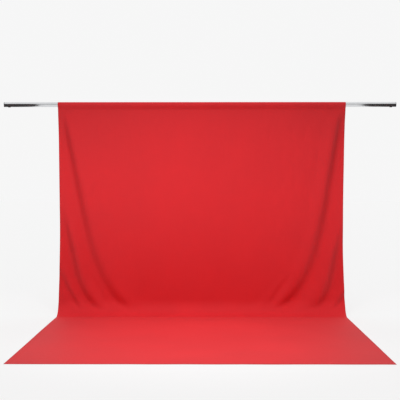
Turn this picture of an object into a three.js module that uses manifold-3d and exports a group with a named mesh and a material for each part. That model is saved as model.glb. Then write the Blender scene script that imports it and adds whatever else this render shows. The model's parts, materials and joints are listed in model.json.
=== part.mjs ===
import * as THREE from 'three';
import { mergeVertices } from 'three/addons/utils/BufferGeometryUtils.js';
import Module from 'manifold-3d';

// A cloth backdrop hung by its rod pocket on a sectional crossbar.
// Millimetres. +X runs along the crossbar, +Z is up and the front faces -Y.
// The origin is the middle of the crossbar, on its axis.

const GAP = 0.3; // left between pieces that touch

// Cloth
const CLOTH_W = 2720;
const CLOTH_T = 0.8;
const CLOTH_SHIFT = 17; // the cloth hangs a little to the right of the bar's middle
const BAR_HEIGHT = 2000; // bar axis above the floor
const FLOOR_RUN = 2450; // from the drop to the front edge
const SWEEP_R = 150; // where the drop turns into the floor run
const HEM_W = 20;
const HEM_T = 1.6;

// Rod pocket, a teardrop in section
const SEAM_DROP = 47.5; // the two layers meet this far below the bar axis
const SEAM_TAIL = 12; // doubled cloth under the seam

// Crossbar sections
const TUBE_R = 22.5;
const TUBE_WALL = 1.2;
const TUBE_BORE = TUBE_R - TUBE_WALL;
const SECTION_L = 924;
const SECTION_PITCH = SECTION_L + GAP;

// Spigots that join the sections, and their rivets
const SPIGOT_R = TUBE_BORE - GAP;
const SPIGOT_WALL = 1.5;
const SPIGOT_BORE = SPIGOT_R - SPIGOT_WALL;
const SPIGOT_IN = 90; // length in each section
const RIVET_X = 45; // from the joint, on the fixed side
const RIVET_LEAN = Math.PI / 6; // each side of straight down
const RIVET_R = 2;
const RIVET_HEAD_R = 3.6;
const RIVET_HEAD_T = 1;
const RIVET_BULB_R = 2.8;
const RIVET_BULB_T = 1.4;

// Snap button and its spring, on the loose side of each spigot
const BUTTON_X = 45; // from the joint
const BUTTON_R = 4.2;
const BUTTON_TIP = 27; // tip below the bar axis
const DOME_H = 2.4;
const COLLAR_R = 5.5;
const COLLAR_T = 1;
const COLLAR_BOTTOM = 18.3; // below the bar axis
const SPRING_T = 0.8;
const SPRING_W = 8;
const SPRING_REACH = 45; // from the button to the bend
const SPRING_BEND_R = 3;
const SPRING_TOP = 18.1;

// End caps and the bushes that take the stands' studs
const CAP_R = 23;
const CAP_T = 4;
const CAP_EDGE = 1;
const PLUG_L = 22;
const PLUG_WALL = 2.5;
const BUSH_X = 45; // from the end of the tube
const BUSH_BORE = 5.1;
const BUSH_R = 8;
const BUSH_TOP = 20.8;
const SEAT_R = 12;
const SEAT_T = 3;

const ROUND = 64; // facets on a large round piece
const SMALL_ROUND = 24;
const SWEEP_STEPS = 10;

const CLOTH_FINISH = { color: 0xd0343a, roughness: 0.92, metalness: 0 };
const CHROME_FINISH = { color: 0xc4c6c8, roughness: 0.14, metalness: 1 };
const STEEL_FINISH = { color: 0x9a9da0, roughness: 0.35, metalness: 1 };
const PLASTIC_FINISH = { color: 0x17181a, roughness: 0.6, metalness: 0 };

const wasm = await Module();
wasm.setup();

function toSolid(geometry) {
  const bare = geometry.clone();
  bare.deleteAttribute('normal');
  bare.deleteAttribute('uv');
  const merged = mergeVertices(bare, 1e-4);
  const mesh = new wasm.Mesh({
    numProp: 3,
    vertProperties: new Float32Array(merged.attributes.position.array),
    triVerts: new Uint32Array(merged.index.array),
  });
  return new wasm.Manifold(mesh);
}

function toGeometry(solid) {
  const mesh = solid.getMesh();
  const geometry = new THREE.BufferGeometry();
  geometry.setAttribute('position', new THREE.BufferAttribute(mesh.vertProperties, 3));
  geometry.setIndex(new THREE.BufferAttribute(mesh.triVerts, 1));
  geometry.computeVertexNormals();
  return geometry;
}

function drilled(geometry, drills) {
  let solid = toSolid(geometry);
  for (const drill of drills) {
    solid = solid.subtract(toSolid(drill));
  }
  return toGeometry(solid);
}

// Turned about Z: the profile is a list of [radius, height]. A ring's profile closes on itself.
function turned(profile, facets) {
  const points = profile.map(([radius, height]) => new THREE.Vector2(radius, height));
  return new THREE.LatheGeometry(points, facets).rotateX(Math.PI / 2);
}

function ring(inner, outer, low, high, facets) {
  return turned([[inner, low], [outer, low], [outer, high], [inner, high], [inner, low]], facets);
}

// A pipe along X, starting at x = 0
function pipe(inner, outer, length) {
  return ring(inner, outer, 0, length, ROUND).rotateY(Math.PI / 2);
}

function drillDown(radius, x, low, high, lean = 0) {
  const drill = new THREE.CylinderGeometry(radius, radius, high - low, SMALL_ROUND);
  drill.rotateX(Math.PI / 2).translate(0, 0, (low + high) / 2);
  return drill.rotateX(lean).translate(x, 0, 0);
}

function rivetDrills(x) {
  return [-1, 1].map((side) => drillDown(RIVET_R + GAP, x, -2 * TUBE_R, 0, side * RIVET_LEAN));
}

function buttonDrill(x) {
  return drillDown(BUTTON_R + GAP, x, -2 * TUBE_R, 0);
}

// A section drawn in the Y-Z plane, run along X for a length and centred on x = 0
function runAlongX(shape, length) {
  const settings = { depth: length, bevelEnabled: false, curveSegments: SWEEP_STEPS };
  const geometry = new THREE.ExtrudeGeometry(shape, settings).translate(0, 0, -length / 2);
  const swap = new THREE.Matrix4().set(0, 0, 1, 0, 1, 0, 0, 0, 0, 1, 0, 0, 0, 0, 0, 1);
  return geometry.applyMatrix4(swap);
}

// The drop, the sweep and the floor run in one section, from a height down to a front edge
function dropShape(top, front, thickness) {
  const back = CLOTH_T / 2;
  const floor = -BAR_HEIGHT;
  const centreY = back - SWEEP_R;
  const centreZ = floor + SWEEP_R;
  const shape = new THREE.Shape();
  shape.moveTo(back, top);
  shape.lineTo(back - thickness, top);
  shape.lineTo(back - thickness, centreZ);
  shape.absarc(centreY, centreZ, SWEEP_R - thickness, 0, -Math.PI / 2, true);
  shape.lineTo(front, floor + thickness);
  shape.lineTo(front, floor);
  shape.lineTo(centreY, floor);
  shape.absarc(centreY, centreZ, SWEEP_R, -Math.PI / 2, 0, false);
  shape.closePath();
  return shape;
}

// The pocket: cloth over the bar, both layers straight down to the seam, and a short doubled tail
function pocketShape() {
  const inner = TUBE_R + GAP;
  const outer = inner + CLOTH_T;
  const slope = Math.asin(inner / SEAM_DROP);
  const tailTop = (CLOTH_T * Math.cos(slope) - outer) / Math.sin(slope);
  const tailBottom = -SEAM_DROP - SEAM_TAIL;
  const shape = new THREE.Shape();
  shape.moveTo(-CLOTH_T, tailBottom);
  shape.lineTo(CLOTH_T, tailBottom);
  shape.lineTo(CLOTH_T, tailTop);
  shape.absarc(0, 0, outer, -slope, Math.PI + slope, false);
  shape.lineTo(-CLOTH_T, tailTop);
  shape.closePath();
  const hollow = new THREE.Path();
  hollow.absarc(0, 0, inner, -slope, Math.PI + slope, false);
  hollow.lineTo(0, -SEAM_DROP);
  hollow.closePath();
  shape.holes.push(hollow);
  return shape;
}

// A bent strip of even thickness along points in the X-Z plane
function stripShape(points, thickness) {
  const left = [];
  const right = [];
  for (let i = 0; i < points.length; i += 1) {
    const ahead = points[Math.min(i + 1, points.length - 1)];
    const behind = points[Math.max(i - 1, 0)];
    const along = ahead.clone().sub(behind).normalize();
    const across = new THREE.Vector2(-along.y, along.x).multiplyScalar(thickness / 2);
    left.push(points[i].clone().add(across));
    right.push(points[i].clone().sub(across));
  }
  return new THREE.Shape([...left, ...right.reverse()]);
}

// The V spring: a flat pad over the button, a leg to the bend, and a leg back to the upper wall.
// The button is at x = 0 and the bend is on the +X side.
function springGeometry() {
  const padZ = -COLLAR_BOTTOM + COLLAR_T + GAP + SPRING_T / 2;
  const points = [new THREE.Vector2(-COLLAR_R, padZ), new THREE.Vector2(COLLAR_R, padZ)];
  for (let i = 0; i <= 8; i += 1) {
    const turn = -Math.PI / 2 + (Math.PI * i) / 8;
    const x = SPRING_REACH + SPRING_BEND_R * Math.cos(turn);
    points.push(new THREE.Vector2(x, SPRING_BEND_R * Math.sin(turn)));
  }
  points.push(new THREE.Vector2(0, SPRING_TOP - SPRING_T));
  points.push(new THREE.Vector2(-COLLAR_R, SPRING_TOP - SPRING_T));
  const settings = { depth: SPRING_W, bevelEnabled: false };
  const strip = new THREE.ExtrudeGeometry(stripShape(points, SPRING_T), settings);
  return strip.rotateX(Math.PI / 2).translate(0, SPRING_W / 2, 0);
}

function buttonGeometry() {
  const profile = [[0, -BUTTON_TIP]];
  for (let i = 1; i <= 6; i += 1) {
    const turn = (Math.PI / 2) * (i / 6);
    profile.push([BUTTON_R * Math.sin(turn), -BUTTON_TIP + DOME_H * (1 - Math.cos(turn))]);
  }
  profile.push([BUTTON_R, -COLLAR_BOTTOM], [COLLAR_R, -COLLAR_BOTTOM]);
  profile.push([COLLAR_R, -COLLAR_BOTTOM + COLLAR_T], [0, -COLLAR_BOTTOM + COLLAR_T]);
  return turned(profile, SMALL_ROUND);
}

// A blind rivet, head outwards, pointing down from the bar axis
function rivetGeometry() {
  const seat = -TUBE_R - GAP;
  const bulb = -SPIGOT_BORE + 2 * GAP;
  const profile = [
    [0, seat - RIVET_HEAD_T],
    [RIVET_HEAD_R * 0.7, seat - RIVET_HEAD_T * 0.8],
    [RIVET_HEAD_R, seat],
    [RIVET_R, seat],
    [RIVET_R, bulb],
    [RIVET_BULB_R, bulb],
    [RIVET_BULB_R * 0.8, bulb + RIVET_BULB_T],
    [0, bulb + RIVET_BULB_T],
  ];
  return turned(profile, SMALL_ROUND);
}

// An end cap pointing along +X: the flange covers the tube's end at x = 0 and the plug goes in
function capGeometry() {
  const plug = SPIGOT_R;
  const profile = [
    [0, -CAP_T / 2],
    [plug - PLUG_WALL, -CAP_T / 2],
    [plug - PLUG_WALL, -PLUG_L],
    [plug - CAP_EDGE, -PLUG_L],
    [plug, -PLUG_L + CAP_EDGE],
    [plug, GAP],
    [CAP_R, GAP],
    [CAP_R, CAP_T - CAP_EDGE],
    [CAP_R - CAP_EDGE, CAP_T],
    [0, CAP_T],
  ];
  return turned(profile, ROUND).rotateY(Math.PI / 2);
}

function bushGeometry() {
  const seatTop = -TUBE_R - GAP;
  const profile = [
    [BUSH_BORE, seatTop - SEAT_T],
    [SEAT_R, seatTop - SEAT_T],
    [SEAT_R, seatTop],
    [BUSH_R, seatTop],
    [BUSH_R, BUSH_TOP],
    [BUSH_BORE, BUSH_TOP],
    [BUSH_BORE, seatTop - SEAT_T],
  ];
  return turned(profile, SMALL_ROUND);
}

function named(name, geometry, finish) {
  const mesh = new THREE.Mesh(geometry, new THREE.MeshStandardMaterial(finish));
  mesh.name = name;
  return mesh;
}

// A section of the bar from x = 0 to its length, drilled where its neighbours are fixed or clipped
function tubeSection(name, drills) {
  const tube = pipe(TUBE_BORE, TUBE_R, SECTION_L);
  return named(name, drilled(tube, drills), CHROME_FINISH);
}

// One joint of the bar, drawn with its fixed side at -X. facing is 1, or -1 for its mirror image.
function barJoint(place, facing) {
  const joint = new THREE.Group();
  const spigot = pipe(SPIGOT_BORE, SPIGOT_R, 2 * SPIGOT_IN).translate(-SPIGOT_IN, 0, 0);
  const fixedX = -facing * RIVET_X;
  const looseX = facing * BUTTON_X;
  const drills = [...rivetDrills(fixedX), buttonDrill(looseX)];
  joint.add(named(`joint_spigot_${place}`, drilled(spigot, drills), STEEL_FINISH));
  for (const [side, lean] of [['front', -RIVET_LEAN], ['back', RIVET_LEAN]]) {
    const rivet = named(`spigot_rivet_${place}_${side}`, rivetGeometry(), STEEL_FINISH);
    rivet.position.x = fixedX;
    rivet.rotation.x = lean;
    joint.add(rivet);
  }
  const spring = named(`clip_spring_${place}`, springGeometry(), STEEL_FINISH);
  spring.position.x = looseX;
  spring.rotation.z = facing > 0 ? Math.PI : 0;
  joint.add(spring);
  const button = named(`snap_button_${place}`, buttonGeometry(), STEEL_FINISH);
  button.position.x = looseX;
  joint.add(button);
  return joint;
}

function barEnd(side, facing) {
  const end = new THREE.Group();
  const tubeEnd = facing * (2 * SECTION_PITCH - GAP / 2);
  const cap = named(`end_cap_${side}`, capGeometry(), PLASTIC_FINISH);
  cap.position.x = tubeEnd;
  cap.rotation.z = facing > 0 ? 0 : Math.PI;
  end.add(cap);
  const bush = named(`stand_bush_${side}`, bushGeometry(), PLASTIC_FINISH);
  bush.position.x = tubeEnd - facing * BUSH_X;
  end.add(bush);
  return end;
}

function crossbar() {
  const bar = new THREE.Group();
  const bushHole = (x) => drillDown(BUSH_R + GAP, x, -2 * TUBE_R, 2 * TUBE_R);
  const farButton = buttonDrill(SECTION_L - BUTTON_X);
  const sections = [
    ['left_outer', [bushHole(BUSH_X), farButton]],
    ['left_inner', [...rivetDrills(RIVET_X), ...rivetDrills(SECTION_L - RIVET_X)]],
    ['right_inner', [buttonDrill(BUTTON_X), ...rivetDrills(SECTION_L - RIVET_X)]],
    ['right_outer', [buttonDrill(BUTTON_X), bushHole(SECTION_L - BUSH_X)]],
  ];
  sections.forEach(([place, drills], i) => {
    const section = tubeSection(`crossbar_tube_${place}`, drills);
    section.position.x = (i - 2) * SECTION_PITCH + GAP / 2;
    bar.add(section);
  });
  const joints = [['left', -SECTION_PITCH, -1], ['centre', 0, 1], ['right', SECTION_PITCH, 1]];
  for (const [place, x, facing] of joints) {
    const joint = barJoint(place, facing);
    joint.position.x = x;
    bar.add(joint);
  }
  bar.add(barEnd('left', -1), barEnd('right', 1));
  return bar;
}

function backdrop() {
  const cloth = new THREE.Group();
  const top = -SEAM_DROP - SEAM_TAIL - GAP;
  const hemBack = -FLOOR_RUN + HEM_W;
  const sheetW = CLOTH_W - 2 * (HEM_W + GAP);
  const sheet = runAlongX(dropShape(top, hemBack + GAP, CLOTH_T), sheetW);
  cloth.add(named('backdrop_cloth', sheet, CLOTH_FINISH));
  cloth.add(named('rod_pocket', runAlongX(pocketShape(), CLOTH_W), CLOTH_FINISH));
  for (const [side, facing] of [['left', -1], ['right', 1]]) {
    const hem = runAlongX(dropShape(top, hemBack + GAP, HEM_T), HEM_W);
    const mesh = named(`side_hem_${side}`, hem, CLOTH_FINISH);
    mesh.position.x = (facing * (CLOTH_W - HEM_W)) / 2;
    cloth.add(mesh);
  }
  const front = named('front_hem', new THREE.BoxGeometry(CLOTH_W, HEM_W, HEM_T), CLOTH_FINISH);
  front.position.set(0, hemBack - HEM_W / 2, -BAR_HEIGHT + HEM_T / 2);
  cloth.add(front);
  cloth.position.x = CLOTH_SHIFT;
  return cloth;
}

const model = new THREE.Group();
model.add(crossbar(), backdrop());

export default model;
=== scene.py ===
"""A red cloth backdrop hung by its rod pocket on a four-section chromed crossbar."""
import json
import math
from dataclasses import dataclass

import bmesh
import bpy
import numpy as np
from mathutils import Matrix, Vector

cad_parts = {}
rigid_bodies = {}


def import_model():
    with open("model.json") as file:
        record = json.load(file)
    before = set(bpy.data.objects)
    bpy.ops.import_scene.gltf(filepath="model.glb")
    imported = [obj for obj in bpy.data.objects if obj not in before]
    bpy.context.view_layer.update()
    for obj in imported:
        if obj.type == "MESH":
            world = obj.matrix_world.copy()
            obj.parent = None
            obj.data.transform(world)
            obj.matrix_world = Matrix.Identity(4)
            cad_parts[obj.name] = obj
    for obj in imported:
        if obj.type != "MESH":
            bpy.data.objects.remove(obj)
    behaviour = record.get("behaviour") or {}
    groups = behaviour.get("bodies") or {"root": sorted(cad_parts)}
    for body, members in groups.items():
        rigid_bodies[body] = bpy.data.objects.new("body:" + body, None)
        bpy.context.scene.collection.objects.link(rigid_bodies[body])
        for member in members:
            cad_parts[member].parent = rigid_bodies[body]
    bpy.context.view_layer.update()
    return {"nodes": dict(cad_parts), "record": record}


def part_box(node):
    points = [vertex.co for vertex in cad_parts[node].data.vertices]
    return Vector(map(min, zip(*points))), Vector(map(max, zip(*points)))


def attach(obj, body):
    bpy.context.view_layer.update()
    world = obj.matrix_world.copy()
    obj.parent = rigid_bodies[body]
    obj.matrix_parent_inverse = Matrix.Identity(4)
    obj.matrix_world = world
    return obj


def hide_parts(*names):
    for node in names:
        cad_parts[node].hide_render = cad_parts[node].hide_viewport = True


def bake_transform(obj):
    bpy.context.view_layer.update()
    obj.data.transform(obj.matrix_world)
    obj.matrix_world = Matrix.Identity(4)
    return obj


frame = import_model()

# --- Driving places and sizes, in metres, most of them read from the frame -------------------

TUBES = [f"crossbar_tube_{place}"
         for place in ("left_outer", "left_inner", "right_inner", "right_outer")]

pocket_low, pocket_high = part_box("rod_pocket")
hem_low, hem_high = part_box("side_hem_left")
bar_low, bar_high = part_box("crossbar_tube_left_inner")

FLOOR_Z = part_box("backdrop_cloth")[0].z
FRONT_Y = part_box("front_hem")[0].y
CLOTH_W = pocket_high.x - pocket_low.x
HALF_W = CLOTH_W / 2
CLOTH_MID_X = (pocket_high.x + pocket_low.x) / 2
CLOTH_T = 0.0008
HEM_W = hem_high.x - hem_low.x
HEM_T = 0.0013
BAR_R = (bar_high.z - bar_low.z) / 2
POCKET_R = BAR_R + 0.0007  # middle of the cloth round the bar
TAIL_Z = pocket_low.z
SEAM_Z = -0.0475
SEAM_SPLIT = 0.0011  # between the middles of the two layers at the seam
SEAM_CORNER = 0.001  # where the tail turns into the pocket
SWEEP_R = 0.15
DROP_END = -FLOOR_Z - SWEEP_R  # how far under the bar the sweep starts

# --- Shader expressions ----------------------------------------------------------------------


class Term:
    """A socket that can be used in arithmetic; each operation adds its Math node."""

    def __init__(self, make, socket):
        self.make = make
        self.socket = socket

    def math(self, operation, *values):
        return self.make.node("ShaderNodeMath", {"operation": operation}, dict(enumerate(values)))

    def __add__(self, other):
        return self.math("ADD", self, other)

    __radd__ = __add__

    def __sub__(self, other):
        return self.math("SUBTRACT", self, other)

    def __rsub__(self, other):
        return self.math("SUBTRACT", other, self)

    def __mul__(self, other):
        return self.math("MULTIPLY", self, other)

    __rmul__ = __mul__

    def sine(self):
        return self.math("SINE", self)

    def clamped(self, low=0.0, high=1.0):
        return self.make.node("ShaderNodeClamp", {}, {"Value": self, "Min": low, "Max": high})


class Nodes:
    """The node tree of a material or a world: node() adds any node and gives its output."""

    def __init__(self, owner):
        self.owner = owner
        owner.use_nodes = True
        self.tree = owner.node_tree
        self.tree.nodes.clear()

    def node(self, kind, settings, values, output=0):
        made = self.tree.nodes.new(kind)
        for key, value in settings.items():
            setattr(made, key, value)
        for key, value in values.items():
            if isinstance(value, Term):
                self.tree.links.new(value.socket, made.inputs[key])
            else:
                made.inputs[key].default_value = value
        return Term(self, made.outputs[output] if made.outputs else None)

    def stretched(self, vector, scale):
        return self.node("ShaderNodeMapping", {}, {"Vector": vector, "Scale": scale})

    def objects(self, scale=(1, 1, 1)):
        return self.stretched(self.node("ShaderNodeTexCoord", {}, {}, "Object"), scale)

    def noise(self, vector, scale, detail=3.0, roughness=0.5):
        values = {"Vector": vector, "Scale": scale, "Detail": detail, "Roughness": roughness}
        return self.node("ShaderNodeTexNoise", {}, values)

    def blend(self, share, low, high):
        return self.node("ShaderNodeMix", {"data_type": "RGBA"}, {0: share, 6: low, 7: high}, 2)

    def bump(self, height, distance, strength, **below):
        values = {"Height": height, "Distance": distance, "Strength": strength}
        return self.node("ShaderNodeBump", {}, values | below)

    def surface(self, values):
        shader = self.node("ShaderNodeBsdfPrincipled", {}, values)
        self.node("ShaderNodeOutputMaterial", {}, {"Surface": shader})
        return self.owner


def new_material(name):
    return Nodes(bpy.data.materials.new(name))


# --- Materials -------------------------------------------------------------------------------

RED, RED_WORN = (0.67, 0.0135, 0.020, 1), (0.77, 0.0175, 0.024, 1)
THREAD_PITCH = 0.0011  # between neighbouring threads of the weave


def woven_red():
    """Matt plain-weave cotton: threads both ways, slubs, uneven dye and fine creases."""
    make = new_material("woven_red_cloth")
    flat = make.node("ShaderNodeUVMap", {"uv_map": "flat"}, {})
    warp, weft = ((make.node("ShaderNodeSeparateXYZ", {}, {"Vector": flat}, way)
                   * (2 * math.pi / THREAD_PITCH)).sine() for way in "XY")
    weave = warp * weft
    slub_warp = make.noise(make.stretched(flat, (260, 6, 1)), 1.0)
    slub_weft = make.noise(make.stretched(flat, (6, 260, 1)), 1.0)
    slub = slub_warp + slub_weft - 1.0
    dye = make.noise(make.objects(), 2.1, 4.0, 0.55)
    creases = make.noise(make.objects((1, 1, 0.6)), 22.0)
    shade = (0.5 + (dye - 0.5) * 1.1 + slub * 0.5 + weave * 0.10).clamped()
    drape = make.bump(creases, 0.004, 0.35)
    return make.surface({
        "Base Color": make.blend(shade, RED, RED_WORN),
        "Roughness": 0.62 + (dye - 0.5) * 0.08 + slub * 0.04,
        "Normal": make.bump(weave * 0.5 + slub * 0.8, 0.0004, 0.5, Normal=drape),
        "Specular IOR Level": 0.25,
        "Sheen Weight": 0.07,
        "Sheen Roughness": 0.50,
    })


def sewing_thread():
    make = new_material("red_thread")
    twist = make.node("ShaderNodeTexWave", {"bands_direction": "DIAGONAL"},
                      {"Vector": make.objects(), "Scale": 900.0, "Distortion": 1.0}, "Fac")
    return make.surface({
        "Base Color": make.blend(twist, (0.42, 0.010, 0.018, 1), (0.68, 0.03, 0.04, 1)),
        "Roughness": 0.5,
        "Normal": make.bump(twist, 0.0001, 0.5),
    })


def chrome():
    """Polished plate with drawing lines along the bar and a little handling haze."""
    make = new_material("chrome_plate")
    lines = make.noise(make.objects((3, 420, 420)), 1.0, 2.0)
    haze = make.noise(make.objects(), 9.0, 4.0, 0.6)
    return make.surface({
        "Base Color": make.blend(haze, (0.66, 0.67, 0.69, 1), (0.78, 0.79, 0.80, 1)),
        "Metallic": 1.0,
        "Roughness": 0.07 + haze * 0.07 + lines * 0.05,
        "Normal": make.bump(lines, 0.00005, 0.25),
    })


def zinc():
    """Bright plating with a faint crystal pattern."""
    make = new_material("bright_zinc")
    cells = make.node("ShaderNodeTexVoronoi", {}, {"Vector": make.objects(), "Scale": 240.0}, "Color")
    tone = make.node("ShaderNodeRGBToBW", {}, {"Color": cells})
    grain = make.noise(make.objects(), 60.0, 5.0, 0.6)
    return make.surface({
        "Base Color": make.blend(0.3 + tone * 0.4, (0.50, 0.51, 0.53, 1), (0.66, 0.67, 0.68, 1)),
        "Metallic": 1.0,
        "Roughness": 0.28 + grain * 0.2,
        "Normal": make.bump(grain, 0.0002, 0.3),
    })


def black_plastic():
    """Moulded plastic with a fine grain and paler scuffs."""
    make = new_material("black_moulded_plastic")
    grain = make.node("ShaderNodeTexVoronoi", {}, {"Vector": make.objects(), "Scale": 1500.0})
    scuff = make.noise(make.objects(), 45.0, 5.0, 0.65)
    return make.surface({
        "Base Color": make.blend(scuff, (0.012, 0.012, 0.013, 1), (0.035, 0.035, 0.037, 1)),
        "Roughness": 0.42 + scuff * 0.25,
        "Normal": make.bump(grain, 0.0002, 0.35),
    })


# --- The cloth's shape -----------------------------------------------------------------------


def smooth(t):
    t = np.clip(t, 0, 1)
    return t * t * (3 - 2 * t)


def arc(centre, radius, start, end, count):
    turns = np.radians(np.linspace(start, end, count))
    return [(centre[0] + radius * math.cos(t), centre[1] + radius * math.sin(t)) for t in turns]


def straight(start, end, count):
    shares = np.linspace(0, 1, count)
    return [tuple(np.add(start, np.subtract(end, start) * share)) for share in shares]


def side_profile():
    """The cloth's line in the Y-Z plane: tail, pocket, drop, sweep and floor run.

    Returns the distance along the cloth from the front seam, and y and z there."""
    lean = math.asin(POCKET_R / -SEAM_Z)  # of the pocket's sides, below the bar
    touch_y, touch_z = POCKET_R * math.cos(lean), -POCKET_R * math.sin(lean)
    past = math.degrees(lean)
    back = SEAM_SPLIT
    lie = FLOOR_Z + CLOTH_T / 2
    centre = (-SWEEP_R, lie + SWEEP_R)
    points = straight((back, TAIL_Z), (back, SEAM_Z - SEAM_CORNER), 8)
    points += straight((back, SEAM_Z), (touch_y, touch_z), 60)[1:]
    points += arc((0, 0), POCKET_R, -past, 180 + past, 160)[1:]
    points += straight((-touch_y, touch_z), (0, SEAM_Z), 60)[1:]
    seam = len(points) - 1
    points += straight((0, SEAM_Z), (0, centre[1]), 1200)[1:]
    points += arc(centre, SWEEP_R, 0, -90, 240)[1:]
    points += straight((centre[0], lie), (FRONT_Y, lie), 1200)[1:]
    line = np.array(points)
    steps = np.linalg.norm(np.diff(line, axis=0), axis=1)
    along = np.concatenate([[0], np.cumsum(steps)])
    return along - along[seam], line[:, 0], line[:, 1]


PATH_S, PATH_Y, PATH_Z = side_profile()
S_TAIL, S_FRONT = PATH_S[0], PATH_S[-1]
S_SWEEP = DROP_END + SEAM_Z  # the sweep starts here
S_FLOOR = S_SWEEP + SWEEP_R * math.pi / 2


REACH = 1.90  # the folds end this far below the bar
FADE_END, FADE = 0.07, 0.12  # they fade out over FADE, FADE_END past their reach
BACK_SHARE, FRONT_SHARE = 0.7, 0.3  # of a fold's rise, behind and before the plain cloth


@dataclass
class Fold:
    """A soft fold that runs down from near a side edge and flares inwards at the floor.

    Its steep face lies near + slope * depth + flare * (depth / REACH) ** power in from the edge,
    and looks outwards: the cloth stands forward on the inner side and back on the outer one."""

    side: int
    start: float  # depth below the bar where it starts
    near: float
    slope: float
    flare: float
    power: float
    rise: float  # from the back of the fold to its front
    face: float  # a quarter of the steep face's width at the bar
    spread: float  # how much wider that gets for each metre down
    full: float  # depth over which the fold grows to its full size
    outer: float = 0.13  # how far the cloth takes to come forward again, outside
    inner: float = 0.15

    def line(self, depth):
        share = np.maximum(depth, 0) / REACH
        return self.near + self.slope * depth + self.flare * share ** self.power

    def push(self, inset, depth):
        """How far the fold moves the cloth back."""
        grown = smooth((depth - self.start) / self.full)
        left = smooth((REACH + FADE_END - depth) / FADE)
        off = inset - self.line(depth)
        front = 1 / (1 + np.exp(-np.clip(off / (self.face + self.spread * depth), -40, 40)))
        back = (1 - front) * np.exp(-(np.minimum(off, 0) / self.outer) ** 2)
        forward = front * np.exp(-(np.maximum(off, 0) / self.inner) ** 2)
        return self.rise * grown * left * (BACK_SHARE * back - FRONT_SHARE * forward)


# side, start, near, slope, flare, power, rise, face, spread, full
FOLDS = [
    Fold(-1, 0.00, 0.036, 0.185, 0.235, 6.5, 0.058, 0.0090, 0.0090, 0.40),
    Fold(-1, 0.92, -0.160, 0.200, 0.120, 12.0, 0.060, 0.0020, 0.0095, 0.45, outer=0.09),
    Fold(-1, 1.50, -0.632, 0.412, 0.040, 14.0, 0.040, 0.0120, 0.0, 0.25, outer=0.06, inner=0.06),
    Fold(-1, 1.50, -0.677, 0.614, 0.0, 1.0, 0.020, 0.0150, 0.0, 0.20, outer=0.06, inner=0.06),
    Fold(1, -0.10, 0.036, 0.140, 0.290, 6.0, 0.078, 0.0105, 0.0095, 0.50),
    Fold(1, 1.10, -0.200, 0.195, 0.080, 17.0, 0.068, 0.0, 0.0110, 0.40, outer=0.09),
    Fold(1, 1.65, -1.360, 0.760, 0.0, 1.0, 0.036, 0.0140, 0.0, 0.15, outer=0.05, inner=0.06),
    Fold(1, 0.02, 0.210, 0.140, 0.450, 5.0, 0.010, 0.0250, 0.0100, 0.30),
    Fold(1, 1.55, -0.550, 0.680, 0.0, 1.0, 0.022, 0.0160, 0.0, 0.20, outer=0.07, inner=0.08),
]


def ripple(x, s, spans, seed):
    """The mean of gentle waves of about these spans, the same every time."""
    draw = np.random.default_rng(seed)
    total = np.zeros_like(x)
    for span in spans:
        for _ in range(WAVES_PER_SPAN):
            heading, phase = draw.uniform(-0.6, 0.6), draw.uniform(0, 2 * math.pi)
            turn = 2 * math.pi / (span * draw.uniform(0.8, 1.25))
            total += np.sin(turn * (x * math.cos(heading) + s * math.sin(heading)) + phase)
    return total / (WAVES_PER_SPAN * len(spans))


def line_at(s):
    return np.array([np.interp(s, PATH_S, PATH_Y), np.interp(s, PATH_S, PATH_Z)])


WAVES_PER_SPAN = 4
SLOPE_STEP = 0.002
SWAY, SWAY_SPANS = 0.0035, (0.55, 0.33)
CREASE, CREASE_SPANS = 0.0010, (0.13,)
PUCKER, PUCKER_SPANS, PUCKER_REACH = 0.0006, (0.05, 0.09), 0.012  # at the seam
SWELL, SWELL_SPANS, SWELL_FADE = 0.0018, (0.9, 0.4), 0.3  # off the floor
HANG_FADE_TOP, HANG_FADE_FLOOR, HANG_PAST = 0.10, 0.22, 0.02
HEM_RAMP_START, HEM_RAMP = 0.05, 0.03  # in from an edge, where the cloth climbs onto its hem
TAKE_UP = {-1: 0.014, 1: 0.020}  # how far each side edge is drawn in by the folds
TAKE_UP_SPAN, TAKE_UP_POWER = 0.7, 1.4


def cloth_at(x, s, lift=0.0):
    """Points of the hung cloth. x is flat, from its middle; s runs along it from the front seam."""
    x, s = np.broadcast_arrays(np.asarray(x, float), np.asarray(s, float))
    y, z = line_at(s)
    slope_y, slope_z = line_at(s + SLOPE_STEP) - line_at(s - SLOPE_STEP)
    length = np.hypot(slope_y, slope_z)
    front_y, front_z = slope_z / length, -slope_y / length
    depth = s - SEAM_Z
    edge = HALF_W - np.abs(x)

    push = sum(fold.push(HALF_W - fold.side * x, depth) for fold in FOLDS)
    push += SWAY * ripple(x, s, SWAY_SPANS, 4) + CREASE * ripple(x, s, CREASE_SPANS, 9)
    hung = smooth(s / HANG_FADE_TOP) * smooth((S_FLOOR + HANG_PAST - s) / HANG_FADE_FLOOR)

    pucker = PUCKER * ripple(x, s * 0, PUCKER_SPANS, 2) * np.exp(-(s / PUCKER_REACH) ** 2)
    loose = smooth((s - S_FLOOR) / SWELL_FADE)
    swell = SWELL * (1 + ripple(x, s, SWELL_SPANS, 7)) * loose
    on_hem = smooth((HEM_RAMP_START - np.minimum(edge, S_FRONT - s)) / HEM_RAMP)
    on_hem = HEM_T * on_hem * smooth((s - S_SWEEP) / SWEEP_R)
    move = pucker + swell + on_hem + lift - push * hung

    side = np.sign(x)
    draw = np.where(side > 0, TAKE_UP[1], TAKE_UP[-1])
    bow = np.sin(math.pi * np.clip(depth / REACH, 0, 1) ** TAKE_UP_POWER)
    out_x = CLOTH_MID_X + x - side * draw * bow * smooth(1 - edge / TAKE_UP_SPAN)
    return np.stack([out_x, y + move * front_y, z + move * front_z], axis=-1)


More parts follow.
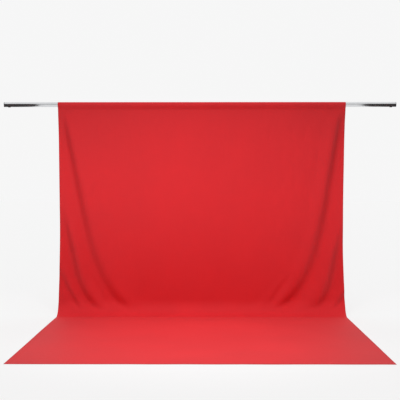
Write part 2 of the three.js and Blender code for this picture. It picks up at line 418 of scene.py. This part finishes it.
def spaced(stops):
    """Values from one stop to the next: [(value, step up to the next one), ...]."""
    values = []
    for (low, step), (high, _) in zip(stops, stops[1:]):
        count = max(1, round((high - low) / step))
        values += list(np.linspace(low, high, count, endpoint=False))
    return np.array([*values, stops[-1][0]])


def cloth_strip(name, xs, ss, lift, thickness):
    """A strip of the cloth over flat places xs and ss, as a grid shaped by cloth_at."""
    bm = bmesh.new()
    bmesh.ops.create_grid(bm, x_segments=len(xs) - 1, y_segments=len(ss) - 1, size=1)
    spots = np.array([vert.co for vert in bm.verts])
    x = np.interp((spots[:, 0] + 1) / 2, np.linspace(0, 1, len(xs)), xs)
    s = np.interp((spots[:, 1] + 1) / 2, np.linspace(0, 1, len(ss)), ss)
    for vert, place in zip(bm.verts, cloth_at(x, s, lift)):
        vert.co = place
    bm.verts.index_update()
    flat = bm.loops.layers.uv.new("flat")
    for face in bm.faces:
        for loop in face.loops:
            loop[flat].uv = (x[loop.vert.index], s[loop.vert.index])
    piece = finish_piece(name, bm, CLOTH)
    solid = piece.modifiers.new("thickness", "SOLIDIFY")
    solid.thickness = thickness
    solid.offset = 0
    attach(piece, "cloth")
    return piece


def finish_piece(name, bm, material, sharp=math.pi):
    """Make the object, smooth except at edges that turn by more than sharp."""
    for face in bm.faces:
        face.smooth = True
    for edge in bm.edges:
        edge.smooth = not edge.is_manifold or edge.calc_face_angle() < sharp
    mesh = bpy.data.meshes.new(name)
    bm.to_mesh(mesh)
    bm.free()
    mesh.materials.append(material)
    piece = bpy.data.objects.new(name, mesh)
    bpy.context.scene.collection.objects.link(piece)
    return piece


# --- Stitching -------------------------------------------------------------------------------

STITCH_PITCH = 0.004
STITCH_SIZE = (0.00145, 0.00035, 0.0003)  # half a stitch: along, across and proud
STITCH_INSET = 0.017  # from the cloth's edge
FRONT_SKIN = CLOTH_T / 2
BACK_SKIN = -CLOTH_T / 2 - HEM_T


def sew(bm, start, end, level, along_s):
    """A row of stitches on the cloth between two flat places (x, s), at one level of it."""
    row = bmesh.ops.create_uvsphere(bm, u_segments=6, v_segments=4, radius=1)["verts"]
    bmesh.ops.scale(bm, vec=STITCH_SIZE, verts=row)
    count = int(math.dist(start, end) / STITCH_PITCH)
    made = 1
    while made < count:
        edges = dict.fromkeys(edge for vert in row for edge in vert.link_edges)
        faces = dict.fromkeys(face for vert in row for face in vert.link_faces)
        copies = bmesh.ops.duplicate(bm, geom=[*row, *edges, *faces])["geom"]
        copied = [item for item in copies if isinstance(item, bmesh.types.BMVert)]
        bmesh.ops.translate(bm, verts=copied, vec=(made * STITCH_PITCH, 0, 0))
        row += copied
        made *= 2
    reach = (count - 0.5) * STITCH_PITCH
    bmesh.ops.delete(bm, geom=[vert for vert in row if vert.co.x > reach], context="VERTS")
    row = [vert for vert in row if vert.is_valid]
    spots = np.array([vert.co for vert in row])
    along, across = spots[:, 0] + STITCH_PITCH / 2, spots[:, 1]
    x = start[0] + (across if along_s else along)
    s = start[1] + (along if along_s else across)
    for vert, place in zip(row, cloth_at(x, s, level + spots[:, 2])):
        vert.co = place


def stitching(name, rows):
    bm = bmesh.new()
    for start, end, level, along_s in rows:
        sew(bm, start, end, level, along_s)
    bmesh.ops.recalc_face_normals(bm, faces=bm.faces)
    piece = finish_piece(name, bm, THREAD)
    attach(piece, "cloth")
    return piece


# --- Make the cloth --------------------------------------------------------------------------

CLOTH, THREAD = woven_red(), sewing_thread()
FOLDED, NEARLY_FLAT = 0.45, 0.72  # distances in from a side edge
HEM_STEPS = 5
HEM_LIFT = -(CLOTH_T + HEM_T) / 2
HEM_CORNER_GAP = 0.0005
STITCH_START = 0.015  # below the seam
STITCH_END = 0.003  # in from the sides, on the pocket's seam

xs = spaced([(-HALF_W, 0.0080), (FOLDED - HALF_W, 0.011), (NEARLY_FLAT - HALF_W, 0.036),
             (HALF_W - NEARLY_FLAT, 0.011), (HALF_W - FOLDED, 0.0080), (HALF_W, 0)])
ss = spaced([(S_TAIL, 0.006), (0, 0.004), (0.03, 0.015), (1.5, 0.012), (S_SWEEP, 0.011),
             (S_FLOOR, 0.05), (S_FRONT - 0.05, 0.0125), (S_FRONT, 0)])
cloth = cloth_strip("hung_cloth", xs, ss, 0.0, CLOTH_T)
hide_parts("backdrop_cloth", "rod_pocket")

side_hem_ss = spaced([(SEAM_Z - hem_high.z, 0.015), (S_SWEEP, 0.011), (S_FLOOR, 0.05),
                      (S_FRONT - HEM_W - HEM_CORNER_GAP, 0)])
front_hem_ss = np.linspace(S_FRONT - HEM_W, S_FRONT, HEM_STEPS)
hems = [
    cloth_strip("turned_hem_left", np.linspace(-HALF_W, HEM_W - HALF_W, HEM_STEPS),
                side_hem_ss, HEM_LIFT, HEM_T),
    cloth_strip("turned_hem_right", np.linspace(HALF_W - HEM_W, HALF_W, HEM_STEPS),
                side_hem_ss, HEM_LIFT, HEM_T),
    cloth_strip("turned_hem_front", xs, front_hem_ss, HEM_LIFT, HEM_T),
]
for hem, node in zip(hems, ("side_hem_left", "side_hem_right", "front_hem")):
    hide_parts(node)

edge_x, edge_s = HALF_W - STITCH_INSET, S_FRONT - STITCH_INSET
seam_x = HALF_W - STITCH_END
back_seam = S_TAIL + (SEAM_Z - TAIL_Z)
skins = (FRONT_SKIN, BACK_SKIN)
sewn = [
    stitching("stitching_left", [
        ((-edge_x, STITCH_START), (-edge_x, edge_s), skin, True) for skin in skins]),
    stitching("stitching_right", [
        ((edge_x, STITCH_START), (edge_x, edge_s), skin, True) for skin in skins]),
    stitching("stitching_front", [
        ((-edge_x, edge_s), (edge_x, edge_s), skin, False) for skin in skins]),
    stitching("stitching_pocket", [
        ((-seam_x, at), (seam_x, at), FRONT_SKIN, False) for at in (0.0, back_seam)]),
]

# --- The crossbar's pieces -------------------------------------------------------------------

CHROME, ZINC, PLASTIC = chrome(), zinc(), black_plastic()
SHARP, FLAT = math.radians(35), math.radians(0.6)
MERGE = 1e-6
RIM = 0.00035  # rounding of a tube's cut end
BEVEL = {"offset_type": "OFFSET", "affect": "EDGES", "segments": 3, "profile": 0.5, "material": -1}


def body_of(node):
    bodies = frame["record"]["behaviour"]["bodies"]
    return next(body for body, nodes in bodies.items() if node in nodes)


def takes_over(node):
    """Hides the node, which a finished piece takes the place of."""
    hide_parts(node)


def stands_for(piece, node):
    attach(piece, body_of(node))
    takes_over(node)


def copied(node):
    """The node's own shape as joined faces instead of loose triangles."""
    bm = bmesh.new()
    bm.from_mesh(frame["nodes"][node].data)
    bmesh.ops.remove_doubles(bm, verts=bm.verts, dist=MERGE)
    bmesh.ops.dissolve_limit(bm, angle_limit=FLAT, verts=bm.verts, edges=bm.edges)
    return bm


def rolled_pipe(name, node, material):
    """A tube or spigot with its cut ends rounded over."""
    bm = copied(node)
    ends = [corner.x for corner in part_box(node)]
    rims = [edge for edge in bm.edges
            if any(all(abs(vert.co.x - end) < 10 * MERGE for vert in edge.verts) for end in ends)]
    bmesh.ops.bevel(bm, geom=rims, offset=RIM, **BEVEL)
    stands_for(finish_piece(name, bm, material, SHARP), node)


def turned(name, node, profile, place, material, steps):
    """A piece turned about an axis: profile is (radius, height) and place puts it on the bar.

    A profile that starts off the axis is closed into a ring."""
    bm = bmesh.new()
    ring = [bm.verts.new((radius, 0, height)) for radius, height in profile]
    edges = [bm.edges.new(pair) for pair in zip(ring, ring[1:])]
    if profile[0][0] > 0:
        edges.append(bm.edges.new((ring[-1], ring[0])))
    bmesh.ops.spin(bm, geom=ring + edges, axis=(0, 0, 1), angle=2 * math.pi, steps=steps,
                   use_merge=True)
    bmesh.ops.remove_doubles(bm, verts=bm.verts, dist=MERGE / 10)
    bmesh.ops.recalc_face_normals(bm, faces=bm.faces)
    bmesh.ops.transform(bm, matrix=place, verts=bm.verts)
    stands_for(finish_piece(name, bm, material, SHARP), node)


def middle_x(node):
    low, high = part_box(node)
    return (low.x + high.x) / 2


for node in TUBES:
    rolled_pipe(node.removeprefix("crossbar_"), node, CHROME)

GAP = 0.0003
SPIGOT_R = BAR_R - 0.0012 - GAP
SPIGOT_BORE = SPIGOT_R - 0.0015
SEAT = -BAR_R - GAP  # where anything that bears on the bar's underside starts

RIVET_LEAN = math.radians(30)
SHANK_R, BULB_R, HEAD_R, HEAD_T, PIN_R = 0.0020, 0.0028, 0.0036, 0.00098, 0.0009
BULB_Z = -SPIGOT_BORE + 2 * GAP
RIVET = [
    (0, SEAT - 0.00062), (PIN_R, SEAT - 0.00062), (0.0011, SEAT - 0.0009),
    (0.0016, SEAT - HEAD_T), (0.0024, SEAT - 0.00084), (0.0031, SEAT - 0.00052),
    (0.00352, SEAT - 0.0001), (HEAD_R, SEAT), (SHANK_R, SEAT), (SHANK_R, BULB_Z),
    (BULB_R, BULB_Z), (BULB_R, BULB_Z + 0.0006), (0.0023, BULB_Z + 0.0012),
    (0.0013, BULB_Z + 0.0014), (0.0011, BULB_Z + 0.0011), (0, BULB_Z + 0.0011),
]

BUTTON_R, COLLAR_R, ROUNDING = 0.0042, 0.0055, 0.0003
TIP_Z, DOME_H, COLLAR_Z, COLLAR_T = -0.0270, 0.0024, -0.0183, 0.001
COLLAR_TOP, COLLAR_EDGE = COLLAR_Z + COLLAR_T, 0.0002
BUTTON = [
    *((BUTTON_R * math.sin(t), TIP_Z + DOME_H * (1 - math.cos(t)))
      for t in np.linspace(0, math.pi / 2, 14)),
    *arc((BUTTON_R + ROUNDING, COLLAR_Z - ROUNDING), ROUNDING, 180, 90, 4),
    (COLLAR_R - COLLAR_EDGE, COLLAR_Z), (COLLAR_R, COLLAR_Z + COLLAR_EDGE),
    (COLLAR_R, COLLAR_TOP - COLLAR_EDGE), (COLLAR_R - COLLAR_EDGE, COLLAR_TOP), (0, COLLAR_TOP),
]

STRIP_EDGE = 0.00012


def spring(place):
    """The strip spring, copied from its node with its sharp edges rounded."""
    node = f"clip_spring_{place}"
    bm = copied(node)
    edges = [edge for edge in bm.edges if edge.is_manifold and edge.calc_face_angle() > SHARP]
    bmesh.ops.bevel(bm, geom=edges, offset=STRIP_EDGE, **BEVEL)
    piece = finish_piece(f"spring_{place}", bm, ZINC, SHARP)
    takes_over(node)
    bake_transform(piece)


for place in ("left", "centre", "right"):
    rolled_pipe(f"spigot_{place}", f"joint_spigot_{place}", ZINC)
    for side, lean in (("front", -RIVET_LEAN), ("back", RIVET_LEAN)):
        node = f"spigot_rivet_{place}_{side}"
        at = Matrix.Translation((middle_x(node), 0, 0)) @ Matrix.Rotation(lean, 4, "X")
        turned(f"rivet_{place}_{side}", node, RIVET, at, ZINC, 40)
    node = f"snap_button_{place}"
    turned(f"button_{place}", node, BUTTON, Matrix.Translation((middle_x(node), 0, 0)), ZINC, 48)
    spring(place)

CAP_R, CAP_T, CAP_EDGE, PLUG_L, PLUG_WALL = 0.023, 0.004, 0.0012, 0.022, 0.0025
PLUG_IN = SPIGOT_R - PLUG_WALL
GROOVES, GROOVE_D = (-0.004, -0.008, -0.012, -0.016), 0.0004  # round the plug


def groove(z):
    return [(SPIGOT_R, z + 0.0006), (SPIGOT_R - GROOVE_D, z + 0.0002),
            (SPIGOT_R - GROOVE_D, z - 0.0002), (SPIGOT_R, z - 0.0006)]


CAP = [
    (0, CAP_T - 0.0007), (0.0016, CAP_T - 0.0007), (0.0021, CAP_T - 0.0004),
    (0.0100, CAP_T - 0.0004), (0.0106, CAP_T - 0.0009), (0.0122, CAP_T - 0.0009),
    (0.0128, CAP_T - 0.0001), (0.0170, CAP_T), (CAP_R - CAP_EDGE, CAP_T),
    *arc((CAP_R - CAP_EDGE, CAP_T - CAP_EDGE), CAP_EDGE, 80, 0, 6),
    (CAP_R, GAP + 0.0003), (CAP_R - 0.0003, GAP), (SPIGOT_R, GAP),
    *(point for z in GROOVES for point in groove(z)),
    (SPIGOT_R, -PLUG_L + 0.001), (SPIGOT_R - 0.001, -PLUG_L), (PLUG_IN, -PLUG_L),
    (PLUG_IN, -CAP_T / 2 - 0.0008), (PLUG_IN - 0.0008, -CAP_T / 2), (0, -CAP_T / 2),
]

BORE, BUSH_R, BUSH_TOP, SEAT_R, SEAT_T = 0.0051, 0.0080, 0.0208, 0.0120, 0.0030
LEAD_IN, SEAT_EDGE, SEAT_LOW = 0.0006, 0.0008, SEAT - SEAT_T
BUSH = [
    (BORE + LEAD_IN, SEAT_LOW), (0.0080, SEAT_LOW), (0.0083, SEAT_LOW + 0.0003),
    (0.0091, SEAT_LOW + 0.0003), (0.0094, SEAT_LOW), (SEAT_R - SEAT_EDGE, SEAT_LOW),
    *arc((SEAT_R - SEAT_EDGE, SEAT_LOW + SEAT_EDGE), SEAT_EDGE, -75, 0, 5),
    (SEAT_R, SEAT - 0.0003), (SEAT_R - 0.0003, SEAT), (BUSH_R, SEAT),
    (BUSH_R, BUSH_TOP - LEAD_IN), (BUSH_R - LEAD_IN, BUSH_TOP), (BORE + LEAD_IN, BUSH_TOP),
    (BORE, BUSH_TOP - LEAD_IN), (BORE, SEAT_LOW + LEAD_IN),
]

for side, facing in (("left", -1), ("right", 1)):
    outside = facing * max(facing * corner.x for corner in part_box(f"end_cap_{side}"))
    at = Matrix.Translation((outside - facing * CAP_T, 0, 0))
    at @= Matrix.Rotation(facing * math.pi / 2, 4, "Y")
    turned(f"cap_{side}", f"end_cap_{side}", CAP, at, PLASTIC, 96)
    at = Matrix.Translation((middle_x(f"stand_bush_{side}"), 0, 0))
    turned(f"bush_{side}", f"stand_bush_{side}", BUSH, at, PLASTIC, 64)

# --- Stage, light and camera -----------------------------------------------------------------


WHITE = (1, 1, 1, 1)
WALL_LEVEL = 0.925  # the plain background behind everything
SKY_LEVEL, SKY_RISE = 0.36, 0.66  # the light from all round, and how much more comes from above


@dataclass
class Spot:
    name: str
    place: tuple
    aim: tuple
    half_angle: float
    wide: float  # the cone's width over its height
    radius: float
    watts: float
    shine: bool  # seen in what shines


SPOTS = [
    Spot("front_light", (-0.70, -3.6, -0.85), (-0.05, 0, -0.2), 0.440, 2.5, 0.30, 96.6, True),
    Spot("floor_light", (-0.05, -1.82, 1.0), (-0.05, -1.73, -2.0), 0.579, 1.0, 0.25, 145, True),
    Spot("top_light", (-0.05, -3.54, 3.0), (-0.05, -0.3, -1.09), 0.251, 2.5, 0.25, 360, False),
]


def studio():
    """An even pale background, and soft light that grows towards the top."""
    scene = bpy.context.scene
    scene.view_settings.view_transform = "Standard"
    scene.world = bpy.data.worlds.new("studio")
    make = Nodes(scene.world)
    around = make.node("ShaderNodeTexCoord", {}, {}, "Generated")
    height = make.node("ShaderNodeSeparateXYZ", {}, {"Vector": around}, "Z")
    level = (SKY_LEVEL + height * SKY_RISE).clamped(SKY_LEVEL)
    sky = make.node("ShaderNodeBackground", {}, {"Color": WHITE, "Strength": level})
    wall = make.node("ShaderNodeBackground", {}, {"Color": WHITE, "Strength": WALL_LEVEL})
    seen = make.node("ShaderNodeLightPath", {}, {}, "Is Camera Ray")
    mixed = make.node("ShaderNodeMixShader", {}, {0: seen, 1: sky, 2: wall})
    make.node("ShaderNodeOutputWorld", {}, {"Surface": mixed})


FLOOR_HALF, UNDER_CLOTH = 60, 0.0006


def stage_floor():
    """A pale floor with a glow of its own, so that it runs into the background."""
    bm = bmesh.new()
    bmesh.ops.create_grid(bm, x_segments=1, y_segments=1, size=FLOOR_HALF)
    bmesh.ops.translate(bm, verts=bm.verts, vec=(0, 0, FLOOR_Z - UNDER_CLOTH))
    material = new_material("pale_floor").surface({
        "Base Color": (0.15, 0.15, 0.15, 1), "Roughness": 1.0,
        "Emission Color": WHITE, "Emission Strength": 0.76})
    floor = finish_piece("studio_floor", bm, material)
    floor.visible_diffuse = False
    floor.visible_shadow = False


BOARD_X, BOARD_R = 1.95, 1.45
BOARD_MIDDLE = (-0.20, -0.20)  # y and z
BOARD_RISE = math.radians(32)  # its top edge rises from the bar towards the front


def side_board(name, x):
    """A black board beside the bar, seen only in what the chrome reflects."""
    bm = bmesh.new()
    bmesh.ops.create_circle(bm, cap_ends=True, segments=48, radius=BOARD_R)
    bmesh.ops.rotate(bm, verts=bm.verts, matrix=Matrix.Rotation(math.pi / 2, 3, "Y"))
    bmesh.ops.translate(bm, verts=bm.verts, vec=(x, *BOARD_MIDDLE))
    bmesh.ops.bisect_plane(bm, geom=[*bm.verts, *bm.edges, *bm.faces], plane_co=(0, 0, 0),
                           plane_no=(0, math.sin(BOARD_RISE), math.cos(BOARD_RISE)), clear_outer=True)
    board = finish_piece(name, bm, BOARD_BLACK)
    board.visible_camera = False
    board.visible_diffuse = False
    board.visible_shadow = False


def facing_along(direction):
    return direction.to_track_quat("-Z", "Y").to_euler()


def soft_spot(spot):
    light = bpy.data.lights.new(spot.name, "SPOT")
    light.energy, light.shadow_soft_size = spot.watts, spot.radius
    light.spot_size, light.spot_blend = 2 * spot.half_angle, 1.0
    lamp = bpy.data.objects.new(spot.name, light)
    lamp.location = spot.place
    lamp.rotation_euler = facing_along(Vector(spot.aim) - Vector(spot.place))
    lamp.scale = (spot.wide, 1, 1)
    lamp.visible_camera = False
    lamp.visible_glossy = spot.shine
    bpy.context.scene.collection.objects.link(lamp)


studio()
stage_floor()
BOARD_BLACK = new_material("black_board").surface({
    "Base Color": (0.02, 0.02, 0.02, 1), "Roughness": 0.9})
side_board("side_board_left", -BOARD_X)
side_board("side_board_right", BOARD_X)
for spot in SPOTS:
    soft_spot(spot)

CAMERA_PLACE = (0.063, -9.012, -0.748)
CAMERA_TURN = math.radians(-0.389)
CAMERA_TILT = math.radians(-0.984)
SENSOR = 36.0
VIEW_W, FOCAL = 400, 951.3


def camera():
    data = bpy.data.cameras.new("camera")
    data.sensor_width = SENSOR
    data.lens = SENSOR * FOCAL / VIEW_W
    cam = bpy.data.objects.new("camera", data)
    cam.location = CAMERA_PLACE
    ahead = Vector((math.sin(CAMERA_TURN) * math.cos(CAMERA_TILT),
                    math.cos(CAMERA_TURN) * math.cos(CAMERA_TILT), math.sin(CAMERA_TILT)))
    cam.rotation_euler = facing_along(ahead)
    bpy.context.scene.collection.objects.link(cam)
    bpy.context.scene.camera = cam


camera()
